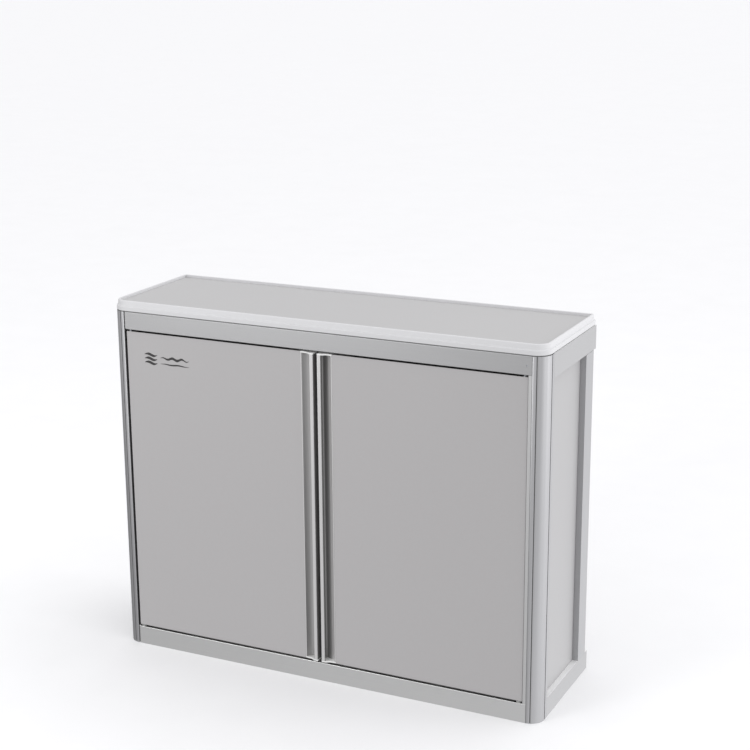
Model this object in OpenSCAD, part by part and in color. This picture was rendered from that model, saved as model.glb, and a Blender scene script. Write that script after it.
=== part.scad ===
// Aquarium stand cabinet: an aluminium frame with rounded front columns, two pivot-hung doors
// with full-height pull profiles, a board for the tank and a white moulded surround.
// Millimetres. +X is the viewer's right, the doors face -Y, +Z is up.
// The origin is at the bottom centre of the whole object.

/* [Overall size] */
// Width over the side faces of the frame
frame_w = 1000; // [900:10:1200]
// Depth from the front plane of the frame to its back plane
frame_d = 300; // [280:10:450]
// Height of the frame, up to the underside of the surround
frame_h = 776; // [650:1:850]
// Height of the moulded surround on top of the frame
surround_h = 24; // [22:1:36]

/* [Columns and rails] */
// Width of a column seen from the front, and radius of its rounded front corner
column_w = 31; // [28:1:34]
// Depth of a front column seen from the side
front_column_d = 43; // [40:1:50]
// Depth of a rear column seen from the side
rear_column_d = 60; // [50:1:70]
// Radius of the outer corner of a rear column
rear_column_r = 16; // [8:1:20]
// Wall thickness of the extrusions
wall = 2.2; // [1.5:0.1:2.4]
// Height of the bottom rails
bottom_rail_h = 42; // [40:1:60]
// Height of the front top rail
front_top_rail_h = 38.5; // [34:0.5:50]
// Height of the side top rails
side_top_rail_h = 51; // [46:1:60]
// Depth of the front and rear rails
rail_d = 20; // [18:1:24]
// Width of the strip between the right column and the right door
jamb_w = 7; // [5:0.5:9]
// Thickness of the spacers between the left column and the front rails
spacer_t = 4.5; // [3:0.5:6]
// How far the spacers lie behind the front plane
spacer_recess = 3; // [1:0.5:4]
// Side of the square cross rails under the two boards
cross_rail = 20; // [16:1:20]
// Distance of the cross rails from the middle
cross_rail_x = 160; // [100:10:250]

/* [Panels and boards] */
// Thickness of the side and rear panels
panel_t = 6; // [4:0.5:6]
// How far the side panels lie behind the side faces
side_recess = 13; // [10:0.5:14]
// How far the rear panel lies in from the back plane
rear_recess = 8; // [6:0.5:10]
// Depth of the channels that hold the panels
channel_d = 6; // [4:0.5:7]
// Thickness of the board that carries the tank
top_board_t = 18; // [16:1:18]
// Thickness of the floor board
floor_board_t = 12; // [9:1:15]
// Wall thickness of the surround
surround_wall = 8; // [7:0.5:8.5]
// Radius of the hole for hoses and cables in the rear panel
outlet_r = 30; // [20:1:40]
// Distance of that hole from the middle
outlet_x = 330; // [200:10:380]
// Height of that hole above the floor
outlet_z = 620; // [500:10:660]

/* [Doors] */
// Thickness of a door panel
door_t = 15; // [14:1:15]
// How far the door faces lie behind the front plane
door_recess = 3; // [2:0.5:3]
// Gap between the left door and the left column
left_gap = 3.8; // [3:0.2:5]
// Gap between the right door and the strip beside the right column
strip_gap = 1.5; // [1.5:0.1:3]
// Gap between a door and the rail above it
top_gap = 4.5; // [3.5:0.5:5]
// Gap between a door and the rail below it
bottom_gap = 3.5; // [3.5:0.5:5]
// Gap between the two doors
meeting_gap = 9; // [7:0.5:12]
// Width of a pull profile
pull_w = 31.5; // [31.5:0.5:40]
// Width of the lip of a pull profile
lip_w = 8.5; // [7:0.5:9]
// How far the lips stand out from the front plane
lip_proud = 3; // [3:0.5:6]
// Thickness of the end caps of the pull profiles
cap_t = 3; // [2:0.5:4]
// Distance of a pivot axis from the outer edge of its door
pivot_inset = 8; // [8:0.5:10]
// Distance of the pivot axes behind the front plane
pivot_v = 8; // [7.5:0.5:8]
// Radius of the pivot pins
pin_r = 2.5; // [2:0.5:2.5]
// Radial running clearance of the pins in their bushes
pin_clearance = 0.05; // [0.02:0.01:0.08]

/* [Hidden] */
$fn = 64;
cut = 1;                                     // overshoot of cutting shapes
fit = 0.25;                                  // play of a panel in its channel

front_y = -(frame_d + lip_proud) / 2 + lip_proud;
back_y = front_y + frame_d;
side_x = frame_w / 2;
column_x = side_x - column_w;                // inner face of the columns and side rails
spacer_x = column_x - spacer_t;               // left ends of the front rails, on the left

// The doors are mirror images of each other about the plane x = door_shift
door_shift = (left_gap - jamb_w - strip_gap) / 2;
door_x = column_x - (left_gap + jamb_w + strip_gap) / 2;    // outer edge of a door
pull_x = meeting_gap / 2;                    // meeting edge of a door
panel_x = pull_x + pull_w;                   // joint between pull profile and door panel
door_z0 = bottom_rail_h + bottom_gap;
door_z1 = frame_h - front_top_rail_h - top_gap;
door_v0 = door_recess;
door_v1 = door_recess + door_t;
pivot_x = door_x - pivot_inset;

end_cap_t = 2;                               // caps on the rear ends of the side rails
side_rail_r = 1.2;
slot_lip = 2.6;                              // metal left in front of and behind the slot
slot_end = 10;                               // distance of the slot's ends from the pivots

flange_t = 1.6;                              // flange of a pivot bush
bush_floor = 1.2;                            // closed end of a pivot bush
bush_r = 4.5;
bush_len = 8;
bush_flange_r = 6.2;
pin_in_door = 20;
pin_in_bush = 6.4;
collar_r = 4.8;
collar_play = 0.2;
upper_collar = 0.8;

bracket_t = 3;
bracket_leg = 46;
bracket_arm = 65;
bracket_h = 26;
leg_screws = [12, 34];                       // distances of the screws from the column
arm_screws = [34, 54];                       // distances of the screws from the rail
screw_r = 2;
screw_len = 9;
screw_head_r = 3.9;
screw_head_h = 2.4;
top_bracket_z = frame_h - 32;
bottom_bracket_z = 3;

catch_x = 42;                                // inner end of a catch housing
catch_w = 28;
catch_d = 18;
catch_h = 24;
catch_plate_t = 3;
catch_plate_h = 20;
magnet_w = 18;
magnet_d = 8;
magnet_h = 12;
magnet_play = 0.1;
strike_w = 20;
strike_h = 14;
strike_t = 1.5;
strike_drop = 10;                            // centre of a strike plate below the door's top
strike_screw_r = 2.6;

surround_front_r = column_w;
surround_rear_r = 9;

metal = [0.74, 0.74, 0.75];
door_grey = [0.70, 0.69, 0.69];
white = [0.92, 0.92, 0.93];
black = [0.12, 0.12, 0.13];
steel = [0.62, 0.63, 0.65];

// ---- helpers -------------------------------------------------------------------------------

// Children are drawn for the right side and mirrored for side = -1
module on_side(side) {
    if (side > 0) children();
    else mirror([1, 0, 0]) children();
}

// Children are drawn for the right door, with x measured from the plane between the doors
module on_door(side) {
    translate([door_shift, 0, 0]) on_side(side) children();
}

// Children are drawn in x and v, where v is the depth behind the front plane
module behind_front() {
    translate([0, front_y, 0]) children();
}

module box(x0, x1, y0, y1, z0, z1) {
    translate([x0, y0, z0]) cube([x1 - x0, y1 - y0, z1 - z0]);
}

module rect(x0, x1, y0, y1) {
    translate([x0, y0]) square([x1 - x0, y1 - y0]);
}

// Rectangle with four rounded corners, all arcs true
module soft_rect(x0, x1, y0, y1, r) {
    rect(x0 + r, x1 - r, y0, y1);
    rect(x0, x1, y0 + r, y1 - r);
    for (x = [x0 + r, x1 - r])
        for (y = [y0 + r, y1 - r])
            translate([x, y]) circle(r);
}

// Extrusion along Y of a section drawn in x and z
module along_y(y0, y1) {
    translate([0, y1, 0]) rotate([90, 0, 0]) linear_extrude(y1 - y0) children();
}

// Extrusion along X of a section drawn in y and z
module along_x(x0, x1) {
    translate([x0, 0, 0]) rotate([90, 0, 90]) linear_extrude(x1 - x0) children();
}

// Extrusion along Z of a plan section
module along_z(z0, z1) {
    translate([0, 0, z0]) linear_extrude(z1 - z0) children();
}

// ---- columns -------------------------------------------------------------------------------

front_groove_turn = 18;                      // degrees round the corner arc from its front end
front_groove_w = 1.8;
front_groove_depth = 1.5;
post_edge_r = 1.4;                           // rounding of a column's edge beside the rails
side_groove_v = column_w - 0.5;
side_groove_w = 3.2;
side_groove_depth = 1.4;
overlap = 0.01;                              // overlap that fuses two touching shapes

// Plan section of a front column: a quarter round in front of a straight flange
module column_outline() {
    intersection() {
        translate([column_x, column_w]) circle(column_w);
        rect(column_x, side_x, 0, column_w);
    }
    rect(column_x, side_x, column_w, front_column_d);
}

module side_channel(v0, v1) {
    rect(side_x - side_recess - panel_t - fit, side_x - side_recess + fit, v0, v1);
}

module front_post_section() {
    hollow_end = front_column_d - channel_d - wall;
    difference() {
        column_outline();
        difference() {
            translate([column_x, column_w]) circle(column_w - wall);
            rect(column_x - column_w, column_x + wall, -cut, 2 * column_w);
            rect(column_x - cut, side_x, column_w, 2 * column_w);
        }
        rect(column_x + wall, side_x - side_groove_depth - 2 * wall, column_w - overlap, hollow_end);
        side_channel(front_column_d - channel_d, front_column_d + cut);
        // fine grooves: one on the corner arc, one where the arc meets the side flange
        translate([column_x, column_w]) rotate(front_groove_turn)
            rect(-front_groove_w / 2, front_groove_w / 2,
                -column_w - cut, -column_w + front_groove_depth);
        rect(side_x - side_groove_depth, side_x + cut,
            side_groove_v - side_groove_w / 2, side_groove_v + side_groove_w / 2);
        // rounded edge beside the rails
        difference() {
            rect(column_x - cut, column_x + post_edge_r, -cut, post_edge_r);
            translate([column_x + post_edge_r, post_edge_r]) circle(post_edge_r);
        }
    }
}

module front_post(side) {
    color(metal) on_side(side) behind_front() along_z(0, frame_h) front_post_section();
}

// Outline of a rear column, drawn from the back plane inwards and offset by inset
module rear_post_outline(inset) {
    turn_x = side_x - rear_column_r;
    rect(column_x + inset, turn_x, inset, rear_column_d);
    rect(column_x + inset, side_x - inset, rear_column_r, rear_column_d);
    intersection() {
        translate([turn_x, rear_column_r]) circle(rear_column_r - inset);
        rect(turn_x, side_x, 0, rear_column_r);
    }
}

module rear_post_section() {
    web_v = rear_recess + panel_t + fit + wall;
    difference() {
        rear_post_outline(0);
        intersection() {
            rear_post_outline(wall);
            union() {
                rect(column_x + channel_d + wall, side_x, 0, web_v);
                rect(column_x, side_x, web_v, rear_column_d - channel_d - wall);
            }
        }
        side_channel(rear_column_d - channel_d, rear_column_d + cut);
        rect(column_x - cut, column_x + channel_d,
            rear_recess - fit, rear_recess + panel_t + fit);
    }
}

// The section is drawn from the back plane inwards, so it is mirrored front to back
module rear_post(side) {
    color(metal) on_side(side) translate([0, back_y, 0]) mirror([0, 1, 0])
        along_z(bottom_rail_h, frame_h - side_top_rail_h) rear_post_section();
}

// Plugs that fill the quarter-round hollow at the foot of the front columns
module post_foot_plugs() {
    plug_h = 14;
    color(black) for (side = [-1, 1]) on_side(side) behind_front()
        along_z(0, plug_h) difference() {
            translate([column_x, column_w]) circle(column_w - wall);
            rect(column_x - column_w, column_x + wall, -cut, 2 * column_w);
            rect(column_x - cut, side_x, column_w, 2 * column_w);
        }
}

// ---- rails ---------------------------------------------------------------------------------

// Tube section with rounded edges
module tube_section(a0, a1, b0, b1, r) {
    difference() {
        soft_rect(a0, a1, b0, b1, r);
        rect(a0 + wall, a1 - wall, b0 + wall, b1 - wall);
    }
}

module front_rail(z0, z1) {
    color(metal) difference() {
        behind_front() along_x(-spacer_x, column_x) tube_section(0, rail_d, z0, z1, 1);
        // holes for the pivot bushes
        for (side = [-1, 1])
            on_door(side) translate([pivot_x, front_y + pivot_v, z0 > 0 ? z0 - cut : z1 - bush_len])
                cylinder(h = bush_len + cut, r = bush_r);
        // slot along the top of the bottom rail, between the bushes
        if (z0 == 0) translate([door_shift, front_y, 0])
            box(-pivot_x + slot_end, pivot_x - slot_end, slot_lip, rail_d - slot_lip,
                z1 - wall - cut, z1 + cut);
    }
}

// Plates between the left column and the front rails
module rail_spacers() {
    top_z = frame_h - front_top_rail_h;
    color(metal) behind_front() along_x(-column_x, -spacer_x) {
        soft_rect(spacer_recess, rail_d, 0, bottom_rail_h, 1);
        soft_rect(spacer_recess, rail_d, top_z, frame_h, 1);
    }
}

// Section of a side rail; the channel for the panel opens up (open = 1) or down (open = -1)
module side_rail_section(h, open) {
    in_x = side_x - side_recess - panel_t - fit;
    out_x = side_x - side_recess + fit;
    lip_z = open > 0 ? h - channel_d : channel_d;
    difference() {
        soft_rect(column_x, side_x, 0, h, side_rail_r);
        difference() {
            rect(column_x + wall, side_x - wall, wall, h - wall);
            if (open > 0) rect(column_x, side_x, lip_z - wall, h);
            else rect(column_x, side_x, 0, lip_z + wall);
        }
        if (open > 0) rect(in_x, out_x, lip_z, h + cut);
        else rect(in_x, out_x, -cut, lip_z);
    }
}

module side_rail(side, z0, h, open) {
    color(metal) on_side(side) translate([0, 0, z0])
        along_y(front_y + front_column_d, back_y - end_cap_t) side_rail_section(h, open);
}

// Caps on the rear ends of the side rails; each has a spigot that fills the hollow of its rail
module rail_end_caps() {
    spigot = 8;
    hollow_h = bottom_rail_h - channel_d - wall;
    top_rail_z = frame_h - side_top_rail_h;
    color(metal) for (side = [-1, 1]) on_side(side) {
        along_y(back_y - end_cap_t, back_y) {
            soft_rect(column_x, side_x, 0, bottom_rail_h, side_rail_r);
            soft_rect(column_x, side_x, top_rail_z, frame_h, side_rail_r);
        }
        along_y(back_y - end_cap_t - spigot, back_y - end_cap_t) {
            rect(column_x + wall, side_x - wall, wall, hollow_h);
            rect(column_x + wall, side_x - wall, top_rail_z + channel_d + wall, frame_h - wall);
        }
    }
}

// Rear rail between the side rails; its channel for the rear panel opens up or down
module rear_rail(z0, z1, open) {
    color(metal) along_x(-column_x, column_x) translate([back_y, 0]) mirror([1, 0]) difference() {
        soft_rect(0, rail_d, z0, z1, 1);
        if (open > 0) {
            rect(wall, rail_d - wall, z0 + wall, z1 - channel_d - wall);
            rect(rear_recess - fit, rear_recess + panel_t + fit, z1 - channel_d, z1 + cut);
        } else {
            rect(wall, rail_d - wall, z0 + channel_d + wall, z1 - wall);
            rect(rear_recess - fit, rear_recess + panel_t + fit, z0 - cut, z0 + channel_d);
        }
    }
}

module cross_rails(z0) {
    y0 = front_y + rail_d;
    y1 = back_y - rail_d;
    color(metal) for (x = [-cross_rail_x, cross_rail_x]) along_y(y0, y1)
        tube_section(x - cross_rail / 2, x + cross_rail / 2, z0, z0 + cross_rail, 1);
}

module right_door_jamb() {
    color(metal) behind_front() along_z(bottom_rail_h, frame_h - front_top_rail_h)
        soft_rect(column_x - jamb_w, column_x, 0, rail_d, 0.4);
}

// ---- fixings of the frame ------------------------------------------------------------------

// One angle bracket in a front corner, drawn in x and v
module bracket_plan() {
    rect(column_x - bracket_leg, column_x, rail_d, rail_d + bracket_t);
    rect(column_x - bracket_t, column_x, rail_d, rail_d + bracket_arm);
}

// Children are drawn once in the right front corner and copied to all eight corners
module at_corners() {
    mid_y = (front_y + back_y) / 2;
    for (z = [bottom_bracket_z, top_bracket_z])
        for (side = [-1, 1])
            for (end = [0, 1])
                translate([0, 0, z]) on_side(side)
                    translate([0, end * 2 * mid_y, 0]) mirror([0, end, 0])
                        behind_front() children();
}

module corner_brackets() {
    color(steel) at_corners() along_z(0, bracket_h) bracket_plan();
}

// Pan-head screw whose head sits on the plane z = 0 and whose shank points down
module pan_screw(shank_r, shank_len, head_r, head_h) {
    socket_z = head_h * 0.45;
    translate([0, 0, -shank_len]) cylinder(h = shank_len + socket_z / 2, r = shank_r, $fn = 24);
    difference() {
        cylinder(h = head_h, r1 = head_r, r2 = head_r * 0.72, $fn = 32);
        translate([0, 0, socket_z]) cylinder(h = head_h, r = head_r * 0.38, $fn = 6);
    }
}

module bracket_screws() {
    mid_z = bracket_h / 2;
    color(steel) at_corners() {
        for (x = leg_screws)
            translate([column_x - x, rail_d + bracket_t, mid_z]) rotate([-90, 0, 0])
                pan_screw(screw_r, screw_len, screw_head_r, screw_head_h);
        for (v = arm_screws)
            translate([column_x - bracket_t, rail_d + v, mid_z]) rotate([0, -90, 0])
                pan_screw(screw_r, screw_len, screw_head_r, screw_head_h);
    }
}

// Small low-headed screw near the right end of the front top rail
module front_rail_screw() {
    rail_screw_x = column_x - 10;
    rail_screw_head_r = 2.2;
    color(steel) translate([rail_screw_x, front_y, frame_h - front_top_rail_h / 2])
        rotate([90, 0, 0]) pan_screw(1.5, wall + 4, rail_screw_head_r, 0.5);
}

// ---- boards and panels ---------------------------------------------------------------------

// Plan outline set in from the outside of the frame, with rounder corners at the front
module plan_outline(inset, front_r, rear_r) {
    x1 = side_x - inset;
    y0 = front_y + inset;
    y1 = back_y - inset;
    rect(-x1 + front_r, x1 - front_r, y0, y1);
    rect(-x1, x1, y0 + front_r, y1 - rear_r);
    for (x = [-x1 + front_r, x1 - front_r]) translate([x, y0 + front_r]) circle(front_r);
    for (x = [-x1 + rear_r, x1 - rear_r]) translate([x, y1 - rear_r]) circle(rear_r);
    rect(-x1 + rear_r, x1 - rear_r, y1 - rear_r, y1);
}

module top_board() {
    inset = surround_wall + fit;
    color(white) along_z(frame_h, frame_h + top_board_t)
        plan_outline(inset, surround_front_r - inset, 1);
}

// Section of the surround: w is the distance in from the outside, z the height
module surround_section() {
    step_z = surround_h * 0.49;                  // ledge between the two bands
    polygon([
        [2.2, 0], [2.2, 1.6], [0.6, 1.9], [0, 2.8], [0, step_z - 1], [0.3, step_z - 0.3],
        [0.9, step_z], [2.5, step_z + 0.2], [3, step_z + 0.9], [3.7, surround_h - 1.8],
        [4.2, surround_h - 0.6], [5.1, surround_h], [surround_wall - 0.8, surround_h],
        [surround_wall, surround_h - 0.8], [surround_wall, 0],
    ]);
}

// One straight run of the surround, from a to b, with the outside on its right-hand side
module surround_run(a, b) {
    run = b - a;
    translate([a[0], a[1], frame_h]) rotate([0, 0, atan2(run[1], run[0])])
        rotate([90, 0, 90]) linear_extrude(norm(run)) surround_section();
}

module surround_corner(x, y, r, turn) {
    translate([x, y, frame_h]) rotate([0, 0, turn])
        rotate_extrude(angle = 90, $fn = 96) translate([r, 0]) mirror([1, 0]) surround_section();
}

module top_surround() {
    fr = surround_front_r;
    rr = surround_rear_r;
    color(white) {
        surround_run([-side_x + fr, front_y], [side_x - fr, front_y]);
        surround_run([side_x, front_y + fr], [side_x, back_y - rr]);
        surround_run([side_x - rr, back_y], [-side_x + rr, back_y]);
        surround_run([-side_x, back_y - rr], [-side_x, front_y + fr]);
        surround_corner(side_x - fr, front_y + fr, fr, -90);
        surround_corner(-side_x + fr, front_y + fr, fr, 180);
        surround_corner(side_x - rr, back_y - rr, rr, 0);
        surround_corner(-side_x + rr, back_y - rr, rr, 90);
    }
}

module floor_board() {
    color(door_grey) box(-column_x, column_x, front_y + rail_d, back_y - rail_d,
        bottom_rail_h - floor_board_t, bottom_rail_h);
}

module side_panel(side) {
    color(door_grey) on_side(side) box(
        side_x - side_recess - panel_t, side_x - side_recess,
        front_y + front_column_d - channel_d + 0.5, back_y - rear_column_d + channel_d - 0.5,
        bottom_rail_h - channel_d, frame_h - side_top_rail_h + channel_d - 0.5);
}

module rear_panel() {
    y0 = back_y - rear_recess - panel_t;
    y1 = back_y - rear_recess;
    color(door_grey) difference() {
        union() {
            box(-column_x - channel_d + 0.5, column_x + channel_d - 0.5, y0, y1,
                bottom_rail_h, frame_h - side_top_rail_h);
            box(-column_x, column_x, y0, y1,
                bottom_rail_h - channel_d, frame_h - front_top_rail_h + channel_d - 0.5);
        }
        translate([outlet_x, y1 + cut, outlet_z]) rotate([90, 0, 0])
            cylinder(h = panel_t + 2 * cut, r = outlet_r);
    }
}

// Rubber ring with a groove that grips the edge of the outlet hole
module outlet_grommet() {
    flange_r = outlet_r + 6;
    bore_r = outlet_r - 5;
    grip = panel_t / 2;
    face = grip + 3;                             // half the length of the ring
    color(black) translate([outlet_x, back_y - rear_recess - panel_t / 2, outlet_z])
        rotate([90, 0, 0]) rotate_extrude() polygon([
            [bore_r, -face + 1], [bore_r + 1, -face], [outlet_r, -face], [flange_r, -grip - 1],
            [flange_r, -grip], [outlet_r, -grip], [outlet_r, grip], [flange_r, grip],
            [flange_r, grip + 1], [outlet_r, face], [bore_r + 1, face], [bore_r, face - 1],
        ]);
}

// ---- pivots and catches --------------------------------------------------------------------

// Bush whose body points down from z = 0, with or without a flange on z = 0
module pivot_bush(with_flange) {
    color(white) difference() {
        union() {
            if (with_flange) cylinder(h = flange_t, r = bush_flange_r);
            translate([0, 0, -bush_len])
                cylinder(h = bush_len + (with_flange ? flange_t / 2 : 0), r = bush_r);
        }
        translate([0, 0, -bush_len + bush_floor])
            cylinder(h = 2 * bush_len, r = pin_r + pin_clearance);
    }
}

module at_pivot(side, z) {
    on_door(side) translate([pivot_x, front_y + pivot_v, z]) children();
}

module lower_bush(side) {
    at_pivot(side, bottom_rail_h) pivot_bush(true);
}

module upper_bush(side) {
    at_pivot(side, frame_h - front_top_rail_h) mirror([0, 0, 1]) pivot_bush(false);
}

// Pin that is pressed into the door edge and turns in its bush, with a collar under the door
module pivot_pin(gap, collar_len) {
    color(steel) {
        translate([0, 0, -pin_in_bush])
            cylinder(h = pin_in_bush + gap + pin_in_door, r = pin_r);
        translate([0, 0, gap - collar_len]) cylinder(h = collar_len, r = collar_r);
    }
}

module lower_pivot(side) {
    at_pivot(side, bottom_rail_h) pivot_pin(bottom_gap, bottom_gap - flange_t - collar_play);
}

module upper_pivot(side) {
    at_pivot(side, frame_h - front_top_rail_h) mirror([0, 0, 1])
        pivot_pin(top_gap, upper_collar);
}

// Housing under the front top rail, with a back plate that reaches up behind the rail
module catch_housing(side) {
    top_z = frame_h - front_top_rail_h;
    color(white) on_door(side) behind_front() difference() {
        union() {
            along_z(top_z - catch_h, top_z)
                soft_rect(catch_x, catch_x + catch_w, rail_d, rail_d + catch_d, 2);
            box(catch_x, catch_x + catch_w, rail_d, rail_d + catch_plate_t,
                top_z - cut, top_z + catch_plate_h);
        }
        magnet_space(magnet_play);
    }
}

// Space of a magnet; it is flush with the front of the housing when play is zero
module magnet_space(play) {
    mid_x = catch_x + catch_w / 2;
    mid_z = frame_h - front_top_rail_h - catch_h / 2 - 1;
    box(mid_x - magnet_w / 2 - play, mid_x + magnet_w / 2 + play,
        rail_d - (play > 0 ? cut : 0), rail_d + magnet_d,
        mid_z - magnet_h / 2 - play, mid_z + magnet_h / 2 + play);
}

module catch_magnets() {
    color(black) for (side = [-1, 1]) on_door(side) behind_front() magnet_space(0);
}

module catch_screws() {
    color(steel) for (side = [-1, 1])
        on_door(side) behind_front()
            for (x = [catch_w / 4, catch_w * 3 / 4])
                translate([catch_x + x, rail_d + catch_plate_t,
                    frame_h - front_top_rail_h + catch_plate_h / 2])
                    rotate([-90, 0, 0]) pan_screw(1.6, 7, 3.1, 2);
}

// Children are drawn on the back of a door, with z = 0 on its surface
module at_strike(side) {
    on_door(side) behind_front()
        translate([catch_x + catch_w / 2, door_v1, door_z1 - strike_drop])
            rotate([-90, 0, 0]) children();
}

module strike_plate(side) {
    color(steel) at_strike(side) linear_extrude(strike_t) difference() {
        soft_rect(-strike_w / 2, strike_w / 2, -strike_h / 2, strike_h / 2, 2);
        circle(strike_screw_r);
    }
}

// Flat screw that lies flush in the strike plate
module strike_screw(side) {
    strike_screw_len = 9;
    color(steel) at_strike(side) {
        difference() {
            cylinder(h = strike_t, r = strike_screw_r, $fn = 32);
            translate([0, 0, strike_t / 2]) cylinder(h = strike_t, r = 1.1, $fn = 6);
        }
        translate([0, 0, -strike_screw_len])
            cylinder(h = strike_screw_len + strike_t / 4, r = 1.4, $fn = 24);
    }
}

// ---- doors ---------------------------------------------------------------------------------

tongue_w = 8;                                // tongue of a pull profile in its door panel
tongue_t = 4;
tongue_v = door_v0 + door_t / 2;

module door_panel(side) {
    color(door_grey) on_door(side) difference() {
        behind_front() along_z(door_z0, door_z1) difference() {
            soft_rect(panel_x, door_x, door_v0, door_v1, 0.8);
            // groove for the tongue of the pull profile
            rect(panel_x - cut, panel_x + tongue_w + fit,
                tongue_v - tongue_t / 2 - fit / 2, tongue_v + tongue_t / 2 + fit / 2);
        }
        for (z = [door_z0 - cut, door_z1 - pin_in_door])
            translate([pivot_x, front_y + pivot_v, z]) cylinder(h = pin_in_door + cut, r = pin_r);
    }
}

curl_r = 4.5;                                // tight round under the lip
floor_wall = 1.8;                            // wall behind the deepest part of the scoop
flat_w = 2;                                  // face strip beside the panel
lip_t = 2.6;
lip_corner_r = 1.5;                          // rounded outer corner of a lip
edge_wall = 2.6;                             // wall at the meeting edge

// Outline of a lip without its nose, in x and v
module lip_outline() {
    nose_x = pull_x + lip_w - lip_t / 2;
    rect(pull_x, nose_x, -lip_proud + lip_corner_r, door_v0 + overlap);
    rect(pull_x + lip_corner_r, nose_x, -lip_proud, 0);
    translate([pull_x + lip_corner_r, -lip_proud + lip_corner_r]) circle(lip_corner_r);
}

// Section of a pull profile in x and v: a proud lip over a finger channel that is deepest
// under the lip and sweeps up to the panel in one arc
module pull_section() {
    curl_x = pull_x + edge_wall + curl_r;
    end_x = panel_x - flat_w;
    floor_v = door_v1 - floor_wall;
    run = end_x - curl_x;
    rise = floor_v - door_v0;
    sweep_r = (run * run + rise * rise) / (2 * rise);
    difference() {
        union() {
            rect(pull_x, panel_x, door_v0, door_v1);
            rect(panel_x - overlap, panel_x + tongue_w,
                tongue_v - tongue_t / 2, tongue_v + tongue_t / 2);
            lip_outline();
        }
        intersection() {
            translate([curl_x, floor_v - sweep_r]) circle(sweep_r);
            rect(curl_x - overlap, end_x, door_v0 - cut, floor_v + cut);
        }
        translate([curl_x, floor_v - curl_r]) circle(curl_r);
        rect(curl_x - curl_r, curl_x, -lip_proud + lip_t, floor_v - curl_r);
        rect(curl_x - overlap, end_x, -lip_proud + lip_t, door_v0);
        rect(pull_x + lip_w, end_x, -lip_proud - cut, door_v0);
    }
    translate([pull_x + lip_w - lip_t / 2, -lip_proud + lip_t / 2]) circle(lip_t / 2);
}

module door_handle(side) {
    color(metal) on_door(side) behind_front()
        along_z(door_z0 + cap_t, door_z1 - cap_t) pull_section();
}

// Cap that closes the end of a pull profile; its web slopes from the lip to the panel
module handle_cap(side, z0) {
    lip_end = pull_x + lip_w;
    color(white) on_door(side) behind_front() along_z(z0, z0 + cap_t) {
        rect(pull_x, panel_x, door_v0, door_v1);
        lip_outline();
        polygon([
            [lip_end - lip_t, -lip_proud], [lip_end + 1, -lip_proud + 0.4],
            [lip_end + 9, door_v0 - 0.6], [panel_x - flat_w, door_v0],
            [panel_x - flat_w, door_v0 + 1], [pull_x + 1, door_v0 + 1],
        ]);
    }
}

// ---- nodes ---------------------------------------------------------------------------------

front_post(-1);  // front_left_post
front_post(1);  // front_right_post
rear_post(-1);  // rear_left_post
rear_post(1);  // rear_right_post
front_rail(frame_h - front_top_rail_h, frame_h);  // front_top_rail
front_rail(0, bottom_rail_h);  // front_bottom_rail
side_rail(-1, frame_h - side_top_rail_h, side_top_rail_h, -1);  // left_top_rail
side_rail(1, frame_h - side_top_rail_h, side_top_rail_h, -1);  // right_top_rail
side_rail(-1, 0, bottom_rail_h, 1);  // left_bottom_rail
side_rail(1, 0, bottom_rail_h, 1);  // right_bottom_rail
rear_rail(frame_h - front_top_rail_h, frame_h, -1);  // rear_top_rail
rear_rail(0, bottom_rail_h, 1);  // rear_bottom_rail
rail_spacers();
right_door_jamb();
cross_rails(frame_h - cross_rail);  // top_cross_rails
cross_rails(bottom_rail_h - floor_board_t - cross_rail);  // floor_cross_rails
corner_brackets();
bracket_screws();
front_rail_screw();
post_foot_plugs();
rail_end_caps();
top_board();
top_surround();
floor_board();
side_panel(-1);  // left_side_panel
side_panel(1);  // right_side_panel
rear_panel();
outlet_grommet();
upper_bush(-1);  // left_upper_bush
lower_bush(-1);  // left_lower_bush
upper_bush(1);  // right_upper_bush
lower_bush(1);  // right_lower_bush
catch_housing(-1);  // left_catch_housing
catch_housing(1);  // right_catch_housing
catch_magnets();
catch_screws();
door_panel(-1);  // left_door_panel
door_handle(-1);  // left_door_handle
handle_cap(-1, door_z1 - cap_t);  // left_handle_top_cap
handle_cap(-1, door_z0);  // left_handle_bottom_cap
upper_pivot(-1);  // left_upper_pivot
lower_pivot(-1);  // left_lower_pivot
strike_plate(-1);  // left_strike_plate
strike_screw(-1);  // left_strike_screw
door_panel(1);  // right_door_panel
door_handle(1);  // right_door_handle
handle_cap(1, door_z1 - cap_t);  // right_handle_top_cap
handle_cap(1, door_z0);  // right_handle_bottom_cap
upper_pivot(1);  // right_upper_pivot
lower_pivot(1);  // right_lower_pivot
strike_plate(1);  // right_strike_plate
strike_screw(1);  // right_strike_screw
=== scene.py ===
import math

import bpy
from mathutils import Matrix, Vector


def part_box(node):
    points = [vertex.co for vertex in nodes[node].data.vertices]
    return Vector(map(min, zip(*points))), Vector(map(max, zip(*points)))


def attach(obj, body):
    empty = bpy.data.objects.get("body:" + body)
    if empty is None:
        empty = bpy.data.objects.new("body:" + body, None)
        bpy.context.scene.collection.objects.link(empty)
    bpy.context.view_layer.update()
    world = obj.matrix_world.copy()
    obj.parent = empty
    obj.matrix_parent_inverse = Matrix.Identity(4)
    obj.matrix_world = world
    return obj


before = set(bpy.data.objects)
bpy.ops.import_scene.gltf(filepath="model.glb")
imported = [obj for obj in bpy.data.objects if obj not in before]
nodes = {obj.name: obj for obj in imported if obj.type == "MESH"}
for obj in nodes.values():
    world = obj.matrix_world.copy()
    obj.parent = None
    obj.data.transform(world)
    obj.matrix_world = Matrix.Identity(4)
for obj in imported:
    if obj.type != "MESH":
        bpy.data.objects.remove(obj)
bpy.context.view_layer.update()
MM = 0.001


# ---- shader helpers ----------------------------------------------------------------------------
# Every finish varies a little over the surface: fine grain in the colour, in the roughness and
# as a shallow bump. The grain is laid out in the part's own coordinates, so it moves with it.

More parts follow.
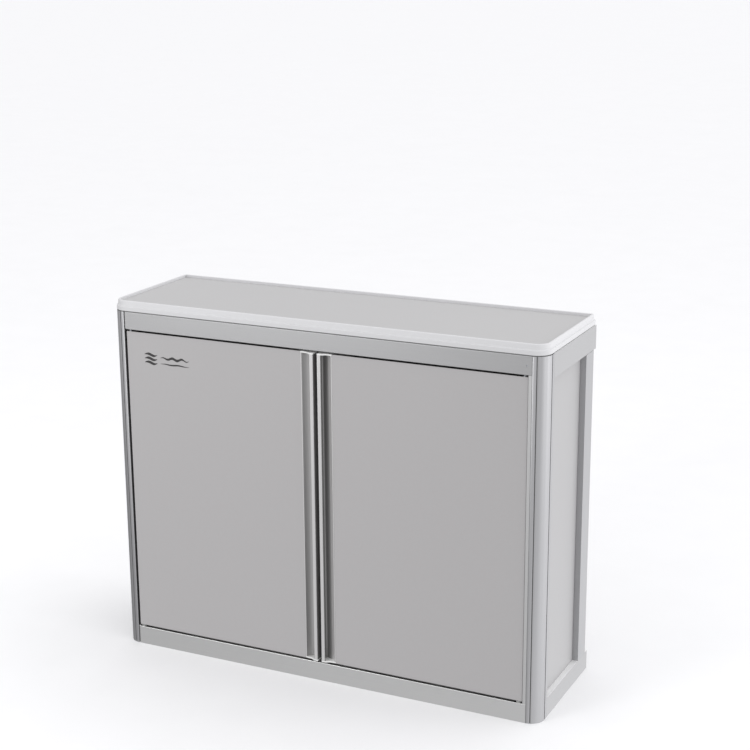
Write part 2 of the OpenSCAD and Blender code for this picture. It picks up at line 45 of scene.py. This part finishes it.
NOISE_LOW = 0.3              # nearly all of the noise lies between these two values
NOISE_HIGH = 0.7
NOISE_ROUGHNESS = 0.55
FINE_DETAIL = 3.0
MOTTLE_DETAIL = 2.0
MOTTLE_SCALE = (2.2, 2.2, 1.6)
FINE_SHARE = 0.6             # share of the fine grain in the colour, the rest is wide mottle
RELIEF = 0.1 * MM            # height of the grain at full bump strength

UPRIGHT = (0.75, 0.95)       # up or down part of a normal where the painted light and shade on upper and lower faces start and are full
RIGHTWARD = (0.1, 0.9)       # the same for the part of a normal that points to the right
RIGHT_SHARE = 0.75           # share of the shade on the faces that point to the right
SILL_FADE = 0.3 * MM         # width over which the painted shade of a sill sets in
GROOVE_FADE = (0.3 * MM, 1.1 * MM)  # depth in a groove where its shade starts and is full
FOOT_FADE = 1.3              # end of the fade above the painted shade at a foot, in heights of the foot
LINES_ACROSS = 700.0         # waves per metre across the drawn lines of a metal
LINES_ALONG = 5.0            # and along them


def new_material(name, **sockets):
    material = bpy.data.materials.new(name)
    material.use_nodes = True
    shader = material.node_tree.nodes["Principled BSDF"]
    for socket, value in sockets.items():
        shader.inputs[socket.replace("_", " ")].default_value = value
    return material


def calculate(tree, operation, *values):
    """Math node; each value is a socket or a plain number."""
    node = tree.nodes.new("ShaderNodeMath")
    node.operation = operation
    for socket, value in zip(node.inputs, values):
        if isinstance(value, bpy.types.NodeSocket):
            tree.links.new(value, socket)
        else:
            socket.default_value = value
    return node.outputs["Value"]


def map_range(tree, value, low, high, from_low=NOISE_LOW, from_high=NOISE_HIGH):
    """Value that goes from low to high while the given one goes from from_low to from_high."""
    node = tree.nodes.new("ShaderNodeMapRange")
    node.inputs["From Min"].default_value = from_low
    node.inputs["From Max"].default_value = from_high
    node.inputs["To Min"].default_value = low
    node.inputs["To Max"].default_value = high
    tree.links.new(value, node.inputs["Value"])
    return node.outputs["Result"]


def coordinate(tree, kind, axis):
    """One component of the part's own position ("Object"), of its normal ("Normal") or, in the
    world's nodes, of the direction looked in ("Generated")."""
    place = tree.nodes.new("ShaderNodeTexCoord")
    split = tree.nodes.new("ShaderNodeSeparateXYZ")
    tree.links.new(place.outputs[kind], split.inputs["Vector"])
    return split.outputs[axis]


def grain(tree, scale, detail=FINE_DETAIL):
    """Noise that can be stretched: scale is in waves per metre along x, y and z."""
    place = tree.nodes.new("ShaderNodeTexCoord")
    mapping = tree.nodes.new("ShaderNodeMapping")
    mapping.inputs["Scale"].default_value = scale
    noise = tree.nodes.new("ShaderNodeTexNoise")
    noise.inputs["Scale"].default_value = 1.0
    noise.inputs["Detail"].default_value = detail
    noise.inputs["Roughness"].default_value = NOISE_ROUGHNESS
    tree.links.new(place.outputs["Object"], mapping.inputs["Vector"])
    tree.links.new(mapping.outputs["Vector"], noise.inputs["Vector"])
    return noise.outputs["Fac"]


def tint(tree, value, dark, light):
    """Colour between dark and light, following a noise value."""
    ramp = tree.nodes.new("ShaderNodeValToRGB")
    first, last = ramp.color_ramp.elements
    first.position = NOISE_LOW
    last.position = NOISE_HIGH
    first.color = (*dark, 1.0)
    last.color = (*light, 1.0)
    tree.links.new(value, ramp.inputs["Fac"])
    return ramp.outputs["Color"]


def shade(colour, factor):
    return tuple(min(1.0, part * factor) for part in colour)


def mix_in(material, colour, amount):
    """Blend a colour over the base colour of a material."""
    tree = material.node_tree
    base = tree.nodes["Principled BSDF"].inputs["Base Color"]
    mix = tree.nodes.new("ShaderNodeMixRGB")
    mix.inputs["Color2"].default_value = (*colour, 1.0)
    tree.links.new(amount, mix.inputs["Fac"])
    tree.links.new(base.links[0].from_socket, mix.inputs["Color1"])
    tree.links.new(mix.outputs["Color"], base)
    return material


# ---- finishes ----------------------------------------------------------------------------------

def finish_with(material, colour, spread, roughness, roughness_spread, scale, bump, bump_scale):
    """Give a material its colour and its roughness, both with grain, and a bump."""
    tree = material.node_tree
    shader = tree.nodes["Principled BSDF"]
    fine = grain(tree, scale)
    mottle = grain(tree, MOTTLE_SCALE, detail=MOTTLE_DETAIL)
    mottle_part = calculate(tree, "MULTIPLY", mottle, 1 - FINE_SHARE)
    mixed = calculate(tree, "MULTIPLY_ADD", fine, FINE_SHARE, mottle_part)
    colours = tint(tree, mixed, shade(colour, 1 - spread), shade(colour, 1 + spread))
    tree.links.new(colours, shader.inputs["Base Color"])
    smoothest = roughness - roughness_spread
    roughest = roughness + roughness_spread
    tree.links.new(map_range(tree, fine, smoothest, roughest), shader.inputs["Roughness"])
    relief = tree.nodes.new("ShaderNodeBump")
    relief.inputs["Strength"].default_value = bump
    relief.inputs["Distance"].default_value = RELIEF
    tree.links.new(grain(tree, bump_scale), relief.inputs["Height"])
    tree.links.new(relief.outputs["Normal"], shader.inputs["Normal"])
    return material


def metal(name, colour, along, roughness, metallic):
    """Satin metal with drawn lines along one axis."""
    lines = [LINES_ALONG if axis == along else LINES_ACROSS for axis in "xyz"]
    material = new_material(name, Metallic=metallic)
    return finish_with(material, colour, spread=0.035, roughness=roughness, roughness_spread=0.05,
                       scale=lines, bump=0.06, bump_scale=lines)


def film(name, colour, roughness):
    """Plain satin film on board, with the faint mottle of the board under it."""
    material = new_material(name, Specular_IOR_Level=0.45)
    return finish_with(material, colour, spread=0.012, roughness=roughness, roughness_spread=0.03,
                       scale=(160, 160, 160), bump=0.03, bump_scale=(900, 900, 900))


def plastic(name, colour, roughness):
    """Moulded plastic, rubber or ink with a very fine grain."""
    material = new_material(name, Specular_IOR_Level=0.5)
    return finish_with(material, colour, spread=0.008, roughness=roughness, roughness_spread=0.03,
                       scale=(240, 240, 240), bump=0.015, bump_scale=(1500, 1500, 1500))


def on_ends(material, colour, sign):
    """Another colour on the faces that point up (sign 1) or down (sign -1): painted light on the
    side rails, painted shade on the door ends.
    """
    tree = material.node_tree
    start, full = UPRIGHT
    upward = coordinate(tree, "Normal", "Z")
    return mix_in(material, colour, map_range(tree, upward, 0.0, 1.0, start * sign, full * sign))


def paint_sill_shade(material, colour, y):
    """Painted shade as a dark strip on the faces that point up, from y backwards."""
    tree = material.node_tree
    upward = map_range(tree, coordinate(tree, "Normal", "Z"), 0.0, 1.0, *UPRIGHT)
    behind = map_range(tree, coordinate(tree, "Object", "Y"), 0.0, 1.0, y, y + SILL_FADE)
    return mix_in(material, colour, calculate(tree, "MULTIPLY", upward, behind))


def paint_channel_shade(material, colour, y_open, y_deep, y_back):
    """Painted shade from the depth y_open to y_deep, but not at the back, and on right-hand faces.
    """
    tree = material.node_tree
    y = coordinate(tree, "Object", "Y")
    deep = map_range(tree, y, 0.0, 1.0, y_open, y_deep)
    back = map_range(tree, y, 0.0, 1.0, y_deep, y_back)
    hollow = calculate(tree, "SUBTRACT", deep, back)
    right = map_range(tree, coordinate(tree, "Normal", "X"), 0.0, RIGHT_SHARE, *RIGHTWARD)
    return mix_in(material, colour, calculate(tree, "MAXIMUM", hollow, right))


def paint_groove_shade(material, colour, axis_x, axis_y, radius):
    """Painted shade on what lies deeper than the round face of a front column, in its grooves."""
    tree = material.node_tree
    square = 0.0
    for axis, middle in (("X", axis_x), ("Y", axis_y)):
        size = calculate(tree, "ABSOLUTE", coordinate(tree, "Object", axis))
        offset = calculate(tree, "SUBTRACT", size, abs(middle))
        square = calculate(tree, "MULTIPLY_ADD", offset, offset, square)
    start, full = GROOVE_FADE
    shallow = (radius - start) ** 2
    deep = (radius - full) ** 2
    return mix_in(material, colour, map_range(tree, square, 1.0, 0.0, deep, shallow))


def paint_foot_shade(material, colour, z, height):
    """Painted shade as a dark line along the lower edge, from z up over the height."""
    tree = material.node_tree
    level = coordinate(tree, "Object", "Z")
    top = z + height
    return mix_in(material, colour, map_range(tree, level, 1.0, 0.0, top, z + FOOT_FADE * height))


# ---- materials ---------------------------------------------------------------------------------

post_low, post_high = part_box("front_right_post")
post_r = post_high.x - post_low.x
door_low, door_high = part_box("left_door_panel")
surround_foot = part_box("top_surround")[0].z
foot_h = 1.6 * MM

# The upper faces of the bottom rail are painted dark, as shade, from this depth on
sill_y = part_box("front_bottom_rail")[0].y + 0.4 * MM

# The finger channels of the pulls get painted shade between these depths and are plain again at
# the back
channel_open = door_high.y - 5.5 * MM
channel_deep = door_high.y - 1.2 * MM
channel_back = door_high.y - 0.4 * MM

# Colours that several metals or boards share
COLUMN_GREY = (0.50, 0.50, 0.51)
BOARD_GREY = (0.50, 0.495, 0.495)

# Colours of deep painted shade, of painted shade on the door ends and of painted light on the
# upper faces of the side rails
GROOVE_SHADE = (0.17, 0.17, 0.17)
CHANNEL_SHADE = (0.11, 0.108, 0.106)
SILL_SHADE = (0.03, 0.03, 0.03)
FOOT_SHADE = (0.22, 0.22, 0.22)
DOOR_END_SHADE = (0.03, 0.03, 0.03)
PAINTED_TOP_LIGHT = (0.86, 0.86, 0.86)

COLUMN = metal("column_aluminium", COLUMN_GREY, "z", roughness=0.50, metallic=0.85)
# Painted shade in the grooves of the front columns
FRONT_COLUMN = paint_groove_shade(
    metal("front_column_aluminium", COLUMN_GREY, "z", roughness=0.50, metallic=0.85),
    GROOVE_SHADE, post_low.x, post_low.y + post_r, post_r)
REAR_RAIL = metal("rail_aluminium_x", (0.54, 0.54, 0.54), "x", roughness=0.34, metallic=0.6)
TOP_RAIL = metal("top_rail_aluminium", (0.45, 0.45, 0.455), "x", roughness=0.36, metallic=0.6)
# Painted shade on the upper faces of the bottom rail behind the doors
BOTTOM_RAIL = paint_sill_shade(
    # The bottom rail is a lighter copy of the rail aluminium, painted light for the reflection of
    # the floor
    metal("bottom_rail_aluminium", (0.70, 0.70, 0.695), "x", roughness=0.34, metallic=0.75),
    SILL_SHADE, sill_y)
# The upper faces of the side rails get painted light, lighter as if lit from above
SIDE_RAIL = on_ends(
    metal("rail_aluminium_y", (0.46, 0.46, 0.465), "y", roughness=0.45, metallic=0.15),
    PAINTED_TOP_LIGHT, 1)
JAMB = metal("rail_aluminium_z", (0.60, 0.60, 0.60), "z", roughness=0.42, metallic=0.6)
# Painted shade in the finger channels of the pulls and on their faces that point to the right
PULL = paint_channel_shade(
    metal("pull_aluminium", (0.68, 0.672, 0.668), "z", roughness=0.34, metallic=0.35),
    CHANNEL_SHADE, channel_open, channel_deep, channel_back)
STEEL = metal("zinc_plate", (0.42, 0.43, 0.45), "x", roughness=0.34, metallic=1.0)
DOOR = film("door_film", (0.478, 0.467, 0.469), roughness=0.38)
# Painted shade on the upper and lower ends of the doors, where they sit in the dark gaps
DOOR = on_ends(on_ends(DOOR, DOOR_END_SHADE, 1), DOOR_END_SHADE, -1)
SIDE = film("side_film", (0.46, 0.456, 0.46), roughness=0.42)
BACK = film("rear_film", (0.52, 0.515, 0.515), roughness=0.5)
INNER = film("floor_film", BOARD_GREY, roughness=0.42)
TOP = film("top_film", BOARD_GREY, roughness=0.40)
WHITE = plastic("surround_plastic", (0.70, 0.70, 0.71), roughness=0.42)
# Painted shade in a dark line along the foot of the surround, where it meets the frame
WHITE = paint_foot_shade(WHITE, FOOT_SHADE, surround_foot, foot_h)
CAP = plastic("cap_plastic", (0.88, 0.88, 0.87), roughness=0.4)
NYLON = plastic("bush_nylon", (0.55, 0.55, 0.53), roughness=0.45)
CATCH = plastic("catch_plastic", (0.70, 0.70, 0.68), roughness=0.45)
BLACK = plastic("black_plastic", (0.03, 0.03, 0.032), roughness=0.5)
RUBBER = plastic("rubber", (0.022, 0.022, 0.023), roughness=0.72)
MAGNET = plastic("ferrite", (0.05, 0.05, 0.052), roughness=0.6)
PRINT = plastic("print_ink", (0.035, 0.033, 0.033), roughness=0.5)

# Nodes that are not listed, the fittings, are zinc-plated steel
FINISH = {
    FRONT_COLUMN: ["front_left_post", "front_right_post"],
    COLUMN: ["rear_left_post", "rear_right_post"],
    REAR_RAIL: ["rear_top_rail", "rear_bottom_rail", "rail_spacers"],
    TOP_RAIL: ["front_top_rail"],
    BOTTOM_RAIL: ["front_bottom_rail"],
    SIDE_RAIL: ["left_top_rail", "right_top_rail", "left_bottom_rail", "right_bottom_rail",
                "top_cross_rails", "floor_cross_rails", "rail_end_caps"],
    JAMB: ["right_door_jamb"],
    PULL: ["left_door_handle", "right_door_handle"],
    DOOR: ["left_door_panel", "right_door_panel"],
    SIDE: ["left_side_panel", "right_side_panel"],
    BACK: ["rear_panel"],
    INNER: ["floor_board"],
    TOP: ["top_board"],
    WHITE: ["top_surround"],
    CAP: ["left_handle_top_cap", "left_handle_bottom_cap",
          "right_handle_top_cap", "right_handle_bottom_cap"],
    NYLON: ["left_upper_bush", "left_lower_bush", "right_upper_bush", "right_lower_bush"],
    CATCH: ["left_catch_housing", "right_catch_housing"],
    BLACK: ["post_foot_plugs"],
    RUBBER: ["outlet_grommet"],
    MAGNET: ["catch_magnets"],
}
given = {name: material for material, names in FINISH.items() for name in names}

# Edge rounding of the nodes whose edges catch the light
ROUNDED = {
    DOOR: 0.5 * MM, SIDE: 0.3 * MM, TOP: 0.8 * MM, INNER: 0.6 * MM, CAP: 0.4 * MM,
    CATCH: 0.5 * MM, PULL: 0.3 * MM, COLUMN: 0.25 * MM, FRONT_COLUMN: 0.25 * MM,
}
ROUNDING_STEPS = 2
SHARPEST_KEPT = math.radians(38)     # edges that turn less than this stay as they are
WELD_DISTANCE = 0.001 * MM


def round_edges(obj, width):
    weld = obj.modifiers.new("join_faces", "WELD")
    weld.merge_threshold = WELD_DISTANCE
    bevel = obj.modifiers.new("soft_edges", "BEVEL")
    bevel.width = width
    bevel.segments = ROUNDING_STEPS
    bevel.limit_method = "ANGLE"
    bevel.angle_limit = SHARPEST_KEPT
    bevel.harden_normals = True


for name, obj in nodes.items():
    material = given.get(name, STEEL)
    obj.data.materials.clear()
    obj.data.materials.append(material)
    if material in ROUNDED:
        round_edges(obj, ROUNDED[material])


# ---- printed wave motif on the left door -------------------------------------------------------
# Three short waves stacked as an emblem, and beside them a broad and a fine line of waves

PRINT_IN = 44 * MM           # from the outer edge of the door
PRINT_DOWN = 56 * MM         # from the top of the door to the middle of the emblem
PRINT_PROUD = 0.15 * MM
PRINT_SUNK = 0.1 * MM        # how far the print reaches into the door
ROW_GAP = 9 * MM
EMBLEM_W = 32 * MM
EMBLEM_H = 2.4 * MM
EMBLEM_THICK = 6.4 * MM
LINE_START = 40 * MM
LINE_END = 112 * MM
BROAD_UP = 4 * MM
BROAD_H = 2.4 * MM
BROAD_THICK = 6 * MM
BROAD_CRESTS = 3
FINE_H = 0.8 * MM
FINE_THICK = 3.4 * MM
FINE_CRESTS = 2

WAVE_STEPS = 48
WAVE_START = 0.6             # height of a wave at its left end, as a share of its full height
TIP = 0.04                   # share of the taper left off at each end, which keeps the tips blunt


def wave_band(x0, x1, z, height, thick, crests):
    """Points of a tapering wave line: its upper edge and its lower edge, from left to right."""
    upper = []
    lower = []
    for i in range(WAVE_STEPS + 1):
        along = i / WAVE_STEPS
        x = x0 + (x1 - x0) * along
        growth = WAVE_START + (1 - WAVE_START) * along
        mid = z + height * math.sin(2 * math.pi * crests * along) * growth
        half = thick / 2 * math.sin(math.pi * (TIP + (1 - 2 * TIP) * along))
        upper.append((x, mid + half))
        lower.append((x, mid - half))
    return upper, lower


def add_print(name, bands, surface_y):
    """Thin solid bands on the face of a door."""
    verts = []
    faces = []
    for upper, lower in bands:
        start = len(verts)
        count = len(upper)
        for y in (surface_y - PRINT_PROUD, surface_y + PRINT_SUNK):
            verts += [(x, y, z) for x, z in upper]
            verts += [(x, y, z) for x, z in lower]
        front = start
        back = start + 2 * count
        for i in range(count - 1):
            faces.append((front + i, front + count + i, front + count + i + 1, front + i + 1))
            faces.append((back + i + 1, back + count + i + 1, back + count + i, back + i))
            faces.append((front + i + 1, back + i + 1, back + i, front + i))
            faces.append((front + count + i, back + count + i,
                          back + count + i + 1, front + count + i + 1))
        for i in (0, count - 1):
            side = (front + i, back + i, back + count + i, front + count + i)
            faces.append(side if i == 0 else side[::-1])
    mesh = bpy.data.meshes.new(name)
    mesh.from_pydata(verts, [], faces)
    mesh.materials.append(PRINT)
    obj = bpy.data.objects.new(name, mesh)
    bpy.context.scene.collection.objects.link(obj)
    return obj


print_x = door_low.x + PRINT_IN
print_z = door_high.z - PRINT_DOWN
line_x0 = print_x + LINE_START
line_x1 = print_x + LINE_END
waves = [wave_band(print_x, print_x + EMBLEM_W, print_z + row * ROW_GAP, EMBLEM_H, EMBLEM_THICK, 1)
         for row in (1, 0, -1)]
waves += [
    wave_band(line_x0, line_x1, print_z + BROAD_UP, BROAD_H, BROAD_THICK, BROAD_CRESTS),
    wave_band(line_x0, line_x1, print_z - ROW_GAP, FINE_H, FINE_THICK, FINE_CRESTS),
]
motif = add_print("door_print", waves, door_low.y)
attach(motif, "left_door")


# ---- floor, light and camera -------------------------------------------------------------------

FLOOR_HALF = 40.0


def add_floor():
    corners = [
        (-FLOOR_HALF, -FLOOR_HALF, 0), (FLOOR_HALF, -FLOOR_HALF, 0),
        (FLOOR_HALF, FLOOR_HALF, 0), (-FLOOR_HALF, FLOOR_HALF, 0),
    ]
    mesh = bpy.data.meshes.new("floor")
    mesh.from_pydata(corners, [], [(0, 1, 2, 3)])
    material = new_material("floor_paint", Specular_IOR_Level=0.2)
    finish_with(material, (0.94, 0.94, 0.945), spread=0.01, roughness=0.7, roughness_spread=0.03,
                scale=(8, 8, 8), bump=0.02, bump_scale=(60, 60, 60))
    mesh.materials.append(material)
    obj = bpy.data.objects.new("floor", mesh)
    obj.visible_glossy = False
    obj.visible_diffuse = False
    bpy.context.scene.collection.objects.link(obj)


def toward(azimuth, elevation):
    """Direction to the studio wall: azimuth 0 is in front of the cabinet, 90 to its right."""
    around = math.radians(azimuth)
    up = math.radians(elevation)
    level = math.cos(up)
    return (math.sin(around) * level, -math.cos(around) * level, math.sin(up))


STUDIO_COLOUR = (0.985, 0.985, 1.0, 1.0)
BRIGHT_SIDE = toward(118, 0)
LOBE = 3.6                   # how tightly the light gathers round the bright side
BRIGHT = 1.32                # strength at the bright side
DIM = 0.44                   # strength opposite the bright side
OVERHEAD = 0.66              # added straight above, less towards the horizon
LOW = 0.50                   # added straight below, less towards the horizon
DARK_SIDE = toward(-85, -50)
DARK_FROM = 0.62             # closeness to the dark side, as a cosine, where the dark patch starts
DARK_TO = 0.78               # and where it is full
DARK = 0.44                  # taken off in the dark patch
DARKEST = 0.02


def closeness(tree, direction):
    """Cosine of the angle between the direction looked in and a given one."""
    place = tree.nodes.new("ShaderNodeTexCoord")
    product = tree.nodes.new("ShaderNodeVectorMath")
    product.operation = "DOT_PRODUCT"
    product.inputs[1].default_value = direction
    tree.links.new(place.outputs["Generated"], product.inputs[0])
    return product.outputs["Value"]


def add_studio():
    """Soft all-round light: brightest to the right and overhead, darker low on the left."""
    world = bpy.data.worlds.new("studio")
    world.use_nodes = True
    tree = world.node_tree
    background = tree.nodes["Background"]
    background.inputs["Color"].default_value = STUDIO_COLOUR
    near_bright = map_range(tree, closeness(tree, BRIGHT_SIDE), 0.0, 1.0, -1.0, 1.0)
    lobe = calculate(tree, "POWER", near_bright, LOBE)
    around = map_range(tree, lobe, DIM, BRIGHT, 0.0, 1.0)
    level = coordinate(tree, "Generated", "Z")
    below = map_range(tree, level, LOW, 0.0, -1.0, 0.0)
    above = map_range(tree, level, 0.0, OVERHEAD, 0.0, 1.0)
    patch = map_range(tree, closeness(tree, DARK_SIDE), 0.0, DARK, DARK_FROM, DARK_TO)
    light = calculate(tree, "ADD", around, calculate(tree, "ADD", below, above))
    strength = calculate(tree, "MAXIMUM", calculate(tree, "SUBTRACT", light, patch), DARKEST)
    tree.links.new(strength, background.inputs["Strength"])
    bpy.context.scene.world = world


LIT_POINT = (0, 0, 0.4)

# Name, place, width, height and power of each softbox
SOFTBOXES = [
    ("key_front", (-1.75, -3.3, 1.3), 1.3, 2.2, 41),
    ("right_side", (3.6, 0.3, 1.6), 2.0, 2.2, 14),
]


def add_softbox(name, place, width, height, power):
    data = bpy.data.lights.new(name, "AREA")
    data.shape = "RECTANGLE"
    data.size = width
    data.size_y = height
    data.energy = power
    obj = bpy.data.objects.new(name, data)
    obj.location = place
    aim = Vector(LIT_POINT) - Vector(place)
    obj.rotation_euler = aim.to_track_quat("-Z", "Y").to_euler()
    bpy.context.scene.collection.objects.link(obj)


SENSOR = 36.0
LENS = 77.96
CAMERA_PLACE = (1.503, -3.0005, 1.569)
CAMERA_AZIMUTH = 25.65       # degrees round from the front to the right
CAMERA_DOWN = 15.33          # degrees below the horizontal
CAMERA_ROLL = -0.385         # degrees


def turned(degrees, axis):
    return Matrix.Rotation(math.radians(degrees), 4, axis)


def add_camera():
    data = bpy.data.cameras.new("camera")
    data.sensor_width = SENSOR
    data.lens = LENS
    obj = bpy.data.objects.new("camera", data)
    aim = turned(CAMERA_AZIMUTH, "Z") @ turned(90 - CAMERA_DOWN, "X") @ turned(CAMERA_ROLL, "Z")
    obj.matrix_world = Matrix.Translation(CAMERA_PLACE) @ aim
    bpy.context.scene.collection.objects.link(obj)
    bpy.context.scene.camera = obj


add_floor()
add_studio()
for softbox in SOFTBOXES:
    add_softbox(*softbox)
add_camera()
bpy.context.scene.view_settings.view_transform = "Standard"
